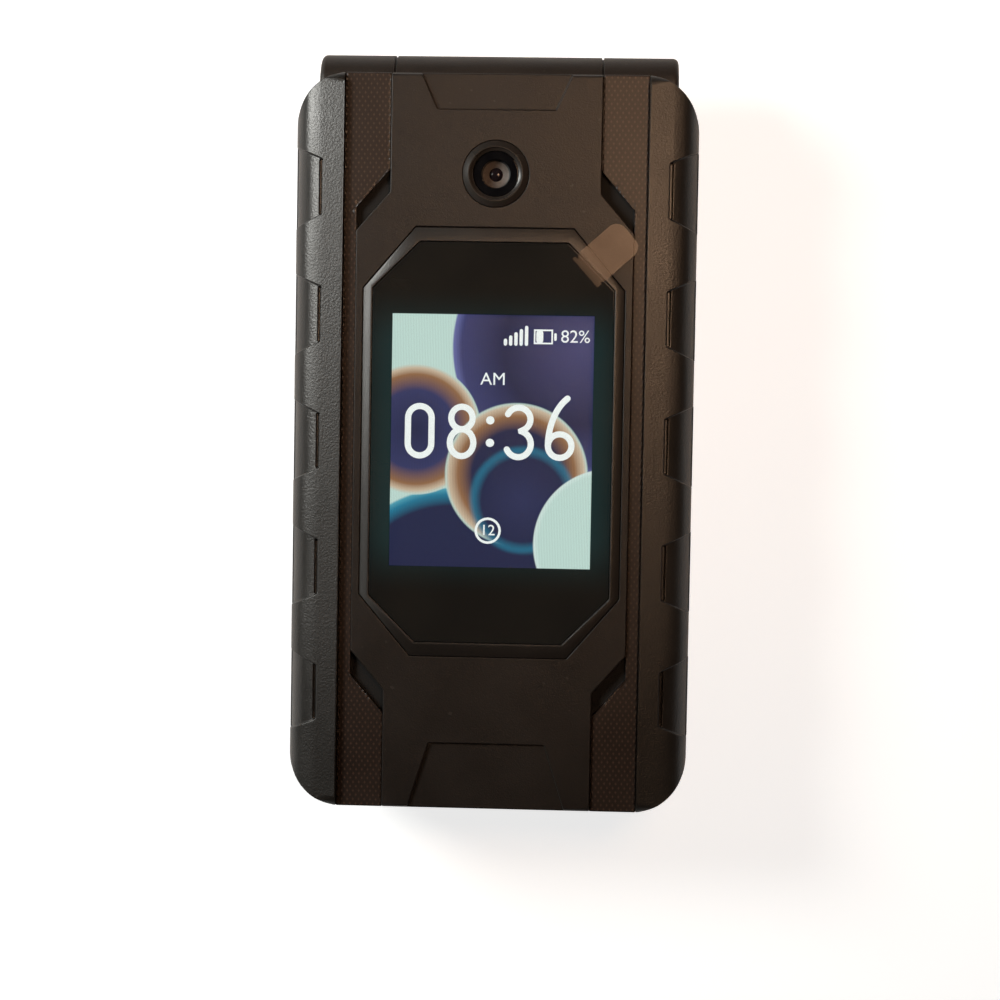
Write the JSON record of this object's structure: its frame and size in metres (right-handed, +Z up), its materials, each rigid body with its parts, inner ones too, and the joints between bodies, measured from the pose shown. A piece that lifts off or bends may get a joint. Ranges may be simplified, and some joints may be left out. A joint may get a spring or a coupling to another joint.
{
  "type": "flip phone",
  "caption": "Rugged clamshell phone, closed, with an octagonal outer window, camera, notched bumper rails, barrel hinge, sprung keys and a turning battery lock.",
  "frame": {"origin": "centre of the closed phone's footprint, on the surface that it lies on", "axes": "+Z up through the lid's outer face, +Y towards the hinge, +X to the right seen from above with the hinge at the top"},
  "size_m": [0.0556, 0.1048, 0.0221],
  "materials": {
    "panel_plastic": "fine-grained satin moulding",
    "rail_plastic": "grained bumper rail",
    "strip_plastic": "knurled texture",
    "bezel_plastic": "satin sloping frame",
    "inner_plastic": "satin moulding",
    "case_plastic": "grained moulding",
    "key_plastic": "satin keys with pale legends",
    "ring_plastic": "satin gloss ring",
    "call_plastic": "green key",
    "end_plastic": "red key",
    "window_glass": "black printed window with a clear picture area",
    "picture": "lit colour display",
    "display_module": "unlit display",
    "clear_film": "clear brownish film",
    "module_plastic": "black module",
    "circuit_board": "solder-masked board",
    "frame_metal": "cast plate",
    "shield_metal": "stamped steel",
    "screw_steel": "turned steel",
    "pad_rubber": "soft rubber",
    "mat_rubber": "grey silicone",
    "flex_film": "amber flexible circuit",
    "battery_wrap": "printed wrap"
  },
  "bodies": {
    "base": {"base_front_cover": "inner_plastic", "base_rear_case": "case_plastic", "key_mat": "mat_rubber", "main_board": "circuit_board", "rf_shield": "shield_metal", "battery": "battery_wrap", "battery_cover": "case_plastic", "loudspeaker": "module_plastic", "vibration_motor": "shield_metal", "usb_socket": "shield_metal", "base_screws": "screw_steel", "hinge_shaft": "screw_steel", "hinge_bush": "screw_steel", "hinge_caps": "case_plastic"},
    "lid": {"lid_outer_cover": "panel_plastic", "lid_rail_left": "rail_plastic", "lid_rail_right": "rail_plastic", "lid_strip_left": "strip_plastic", "lid_strip_right": "strip_plastic", "window_bezel": "bezel_plastic", "outer_window": "window_glass", "outer_display": "picture", "window_film": "clear_film", "camera_ring": "bezel_plastic", "camera_window": "window_glass", "camera_module": "module_plastic", "lid_frame": "frame_metal", "lid_inner_cover": "inner_plastic", "main_window": "window_glass", "main_display": "display_module", "earpiece": "module_plastic", "lid_board": "circuit_board", "lid_bumpers": "pad_rubber", "lid_screws": "screw_steel", "hinge_cartridge": "screw_steel", "hinge_flex": "flex_film"},
    "battery_lock": {"battery_lock": "rail_plastic"},
    "usb_flap": {"usb_flap": "pad_rubber"},
    "volume_rocker": {"volume_rocker": "key_plastic"},
    "side_button": {"side_button": "key_plastic"},
    "nav_carrier": {"nav_carrier": "mat_rubber"},
    "nav_ring": {"nav_ring": "ring_plastic"},
    "ok_key": {"ok_key": "ring_plastic"},
    "key_soft_left": {"key_soft_left": "key_plastic"},
    "key_soft_right": {"key_soft_right": "key_plastic"},
    "key_call": {"key_call": "call_plastic"},
    "key_end": {"key_end": "end_plastic"},
    "key_clear": {"key_clear": "key_plastic"},
    "key_1": {"key_1": "key_plastic"},
    "key_2": {"key_2": "key_plastic"},
    "key_3": {"key_3": "key_plastic"},
    "key_4": {"key_4": "key_plastic"},
    "key_5": {"key_5": "key_plastic"},
    "key_6": {"key_6": "key_plastic"},
    "key_7": {"key_7": "key_plastic"},
    "key_8": {"key_8": "key_plastic"},
    "key_9": {"key_9": "key_plastic"},
    "key_star": {"key_star": "key_plastic"},
    "key_0": {"key_0": "key_plastic"},
    "key_hash": {"key_hash": "key_plastic"}
  },
  "joints": [
    {"name": "lid_hinge", "type": "hinge", "parent": "base", "child": "lid", "pos_m": [0, 0.0475, 0.0123], "axis": [-1, 0, 0], "range_deg": [0, 160]},
    {"name": "ok_key_press", "type": "slide", "parent": "base", "child": "ok_key", "axis": [0, 0, -1], "range_m": [0, 0.0003], "stiffness_N_per_m": 300},
    {"name": "key_soft_left_press", "type": "slide", "parent": "base", "child": "key_soft_left", "axis": [0, 0, -1], "range_m": [0, 0.0003], "stiffness_N_per_m": 300},
    {"name": "key_soft_right_press", "type": "slide", "parent": "base", "child": "key_soft_right", "axis": [0, 0, -1], "range_m": [0, 0.0003], "stiffness_N_per_m": 300},
    {"name": "key_call_press", "type": "slide", "parent": "base", "child": "key_call", "axis": [0, 0, -1], "range_m": [0, 0.0003], "stiffness_N_per_m": 300},
    {"name": "key_end_press", "type": "slide", "parent": "base", "child": "key_end", "axis": [0, 0, -1], "range_m": [0, 0.0003], "stiffness_N_per_m": 300},
    {"name": "key_clear_press", "type": "slide", "parent": "base", "child": "key_clear", "axis": [0, 0, -1], "range_m": [0, 0.0003], "stiffness_N_per_m": 300},
    {"name": "key_1_press", "type": "slide", "parent": "base", "child": "key_1", "axis": [0, 0, -1], "range_m": [0, 0.0003], "stiffness_N_per_m": 300},
    {"name": "key_2_press", "type": "slide", "parent": "base", "child": "key_2", "axis": [0, 0, -1], "range_m": [0, 0.0003], "stiffness_N_per_m": 300},
    {"name": "key_3_press", "type": "slide", "parent": "base", "child": "key_3", "axis": [0, 0, -1], "range_m": [0, 0.0003], "stiffness_N_per_m": 300},
    {"name": "key_4_press", "type": "slide", "parent": "base", "child": "key_4", "axis": [0, 0, -1], "range_m": [0, 0.0003], "stiffness_N_per_m": 300},
    {"name": "key_5_press", "type": "slide", "parent": "base", "child": "key_5", "axis": [0, 0, -1], "range_m": [0, 0.0003], "stiffness_N_per_m": 300},
    {"name": "key_6_press", "type": "slide", "parent": "base", "child": "key_6", "axis": [0, 0, -1], "range_m": [0, 0.0003], "stiffness_N_per_m": 300},
    {"name": "key_7_press", "type": "slide", "parent": "base", "child": "key_7", "axis": [0, 0, -1], "range_m": [0, 0.0003], "stiffness_N_per_m": 300},
    {"name": "key_8_press", "type": "slide", "parent": "base", "child": "key_8", "axis": [0, 0, -1], "range_m": [0, 0.0003], "stiffness_N_per_m": 300},
    {"name": "key_9_press", "type": "slide", "parent": "base", "child": "key_9", "axis": [0, 0, -1], "range_m": [0, 0.0003], "stiffness_N_per_m": 300},
    {"name": "key_star_press", "type": "slide", "parent": "base", "child": "key_star", "axis": [0, 0, -1], "range_m": [0, 0.0003], "stiffness_N_per_m": 300},
    {"name": "key_0_press", "type": "slide", "parent": "base", "child": "key_0", "axis": [0, 0, -1], "range_m": [0, 0.0003], "stiffness_N_per_m": 300},
    {"name": "key_hash_press", "type": "slide", "parent": "base", "child": "key_hash", "axis": [0, 0, -1], "range_m": [0, 0.0003], "stiffness_N_per_m": 300},
    {"name": "nav_sideways_rock", "type": "hinge", "parent": "base", "child": "nav_carrier", "pos_m": [0, 0.0232, 0.0096], "axis": [0, 1, 0], "range_deg": [-1.4, 1.4], "stiffness_Nm_per_rad": 0.05},
    {"name": "nav_lengthways_rock", "type": "hinge", "parent": "nav_carrier", "child": "nav_ring", "pos_m": [0, 0.0232, 0.0096], "axis": [1, 0, 0], "range_deg": [-1.4, 1.4], "stiffness_Nm_per_rad": 0.05},
    {"name": "volume_rock", "type": "hinge", "parent": "base", "child": "volume_rocker", "pos_m": [-0.0264, 0.0183, 0.0089], "axis": [0, 0, 1], "range_deg": [-1.2, 1.2], "stiffness_Nm_per_rad": 0.05},
    {"name": "side_button_press", "type": "slide", "parent": "base", "child": "side_button", "axis": [-1, 0, 0], "range_m": [0, 0.0002], "stiffness_N_per_m": 300},
    {"name": "usb_flap_hinge", "type": "hinge", "parent": "base", "child": "usb_flap", "pos_m": [0.0268, 0.0332, 0.0041], "axis": [0, 0, 1], "range_deg": [0, 95]},
    {"name": "battery_lock_turn", "type": "hinge", "parent": "base", "child": "battery_lock", "pos_m": [0, 0.0205, 0.0007], "axis": [0, 0, 1], "range_deg": [0, 90]}
  ]
}
